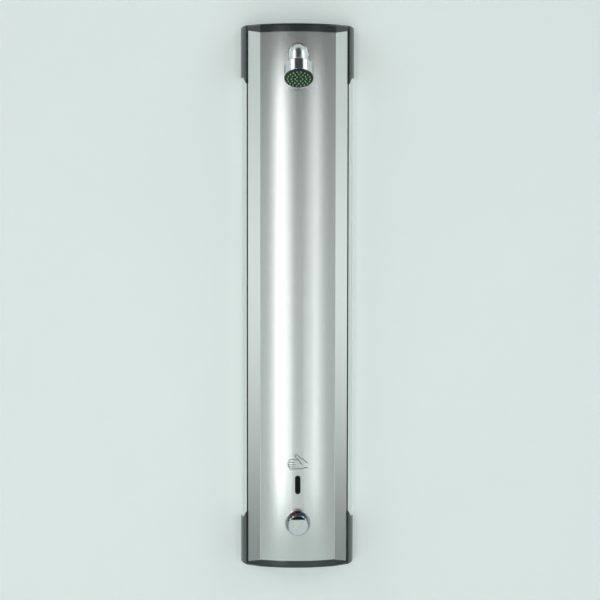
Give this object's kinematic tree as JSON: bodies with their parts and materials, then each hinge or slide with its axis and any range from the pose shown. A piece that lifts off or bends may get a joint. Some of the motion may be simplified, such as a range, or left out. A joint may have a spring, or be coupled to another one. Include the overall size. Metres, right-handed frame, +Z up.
{
  "type": "shower panel",
  "caption": "Tall wall-mounted shower panel with a sensor window, a tilting spray head on an elbow and a temperature knob, its valves and pipework behind a brushed cover.",
  "frame": {"origin": "on the wall plane at the back of the panel, on its centre line, at half its height, which is the centre of the four wall fixing holes", "axes": "+Z up along the panel, +Y into the wall, so the cover faces -Y, and +X to the right of someone facing the panel"},
  "size_m": [0.2548, 0.175, 1.21],
  "materials": {
    "brushed_aluminium": "vertically brushed, anodised",
    "satin_rail": "satin anodised",
    "zinc_steel": "bright zinc plated",
    "seal_rubber": "matt black EPDM",
    "grey_moulding": "dark grey, finely textured",
    "screw_steel": "plain stainless",
    "chrome": "mirror bright",
    "chrome_ball": "mirror bright",
    "white_plastic": "natural acetal",
    "dark_plastic": "satin, near black",
    "green_silicone": "soft silicone, leaf green",
    "brass": "turned",
    "copper": "drawn copper tube",
    "black_plastic": "moulded",
    "black_gloss": "polished acrylic",
    "red_mark": "enamel inlay",
    "blue_mark": "enamel inlay",
    "diode_resin": "smoked resin",
    "grey_box": "moulded",
    "green_board": "lacquered board",
    "black_cable": "round sheathed cable"
  },
  "bodies": {
    "panel": {"back_plate": "zinc_steel", "left_side_rail": "satin_rail", "right_side_rail": "satin_rail", "front_cover": "brushed_aluminium", "left_seal_strip": "seal_rubber", "right_seal_strip": "seal_rubber", "top_cap": "grey_moulding", "bottom_cap": "grey_moulding", "top_end_bracket": "zinc_steel", "bottom_end_bracket": "zinc_steel", "cap_screws": "screw_steel", "head_gasket": "seal_rubber", "head_elbow": "chrome", "flow_regulator": "white_plastic", "head_bracket": "zinc_steel", "head_lock_nut": "brass", "riser_elbow": "brass", "riser_pipe": "copper", "mixed_water_pipe": "copper", "pipe_clips": "white_plastic", "solenoid_body": "brass", "solenoid_coil": "black_plastic", "plunger_spring": "screw_steel", "mixer_body": "brass", "thermostatic_cartridge": "white_plastic", "cartridge_nut": "brass", "temperature_stop_ring": "white_plastic", "mixer_bracket": "zinc_steel", "hot_inlet_valve": "brass", "cold_inlet_valve": "brass", "inlet_union_nuts": "brass", "knob_shroud": "chrome", "hot_mark": "red_mark", "cold_mark": "blue_mark", "sensor_window": "black_gloss", "sensor_housing": "black_plastic", "infrared_diodes": "diode_resin", "sensor_bracket": "zinc_steel", "control_box": "grey_box", "circuit_board": "green_board", "control_box_lid": "grey_box", "battery_pack": "black_plastic", "sensor_lead": "black_cable", "solenoid_lead": "black_cable"},
    "temperature_knob": {"knob_spindle": "brass", "knob_body": "chrome", "knob_pointer": "dark_plastic", "knob_face_plate": "chrome", "knob_insert": "black_gloss", "knob_screw": "screw_steel"},
    "spray_head": {"head_cup": "chrome", "ball_socket": "white_plastic", "socket_ring": "seal_rubber", "nozzle_plate": "dark_plastic", "nozzle_mat": "green_silicone"},
    "hot_isolator": {"hot_isolator_ball": "chrome_ball"},
    "cold_isolator": {"cold_isolator_ball": "chrome_ball"},
    "valve_plunger": {"solenoid_plunger": "screw_steel"}
  },
  "joints": [
    {"name": "temperature_knob_turn", "type": "hinge", "parent": "panel", "child": "temperature_knob", "pos_m": [0, -0.11, -0.5015], "axis": [0, -1, 0], "range_deg": [-90, 90]},
    {"name": "spray_head_tilt", "type": "hinge", "parent": "panel", "child": "spray_head", "pos_m": [0, -0.14425, 0.48214], "axis": [1, 0, 0], "range_deg": [-10, 10]},
    {"name": "hot_isolator_turn", "type": "hinge", "parent": "panel", "child": "hot_isolator", "pos_m": [-0.0635, -0.03, -0.5015], "axis": [0, -1, 0], "range_deg": [0, 90]},
    {"name": "cold_isolator_turn", "type": "hinge", "parent": "panel", "child": "cold_isolator", "pos_m": [0.0635, -0.03, -0.5015], "axis": [0, -1, 0], "range_deg": [0, 90]},
    {"name": "valve_plunger_lift", "type": "slide", "parent": "panel", "child": "valve_plunger", "axis": [0, -1, 0], "range_m": [0, 0.0025], "stiffness_N_per_m": 300, "springref_m": -0.004, "deforming": ["plunger_spring"]}
  ]
}
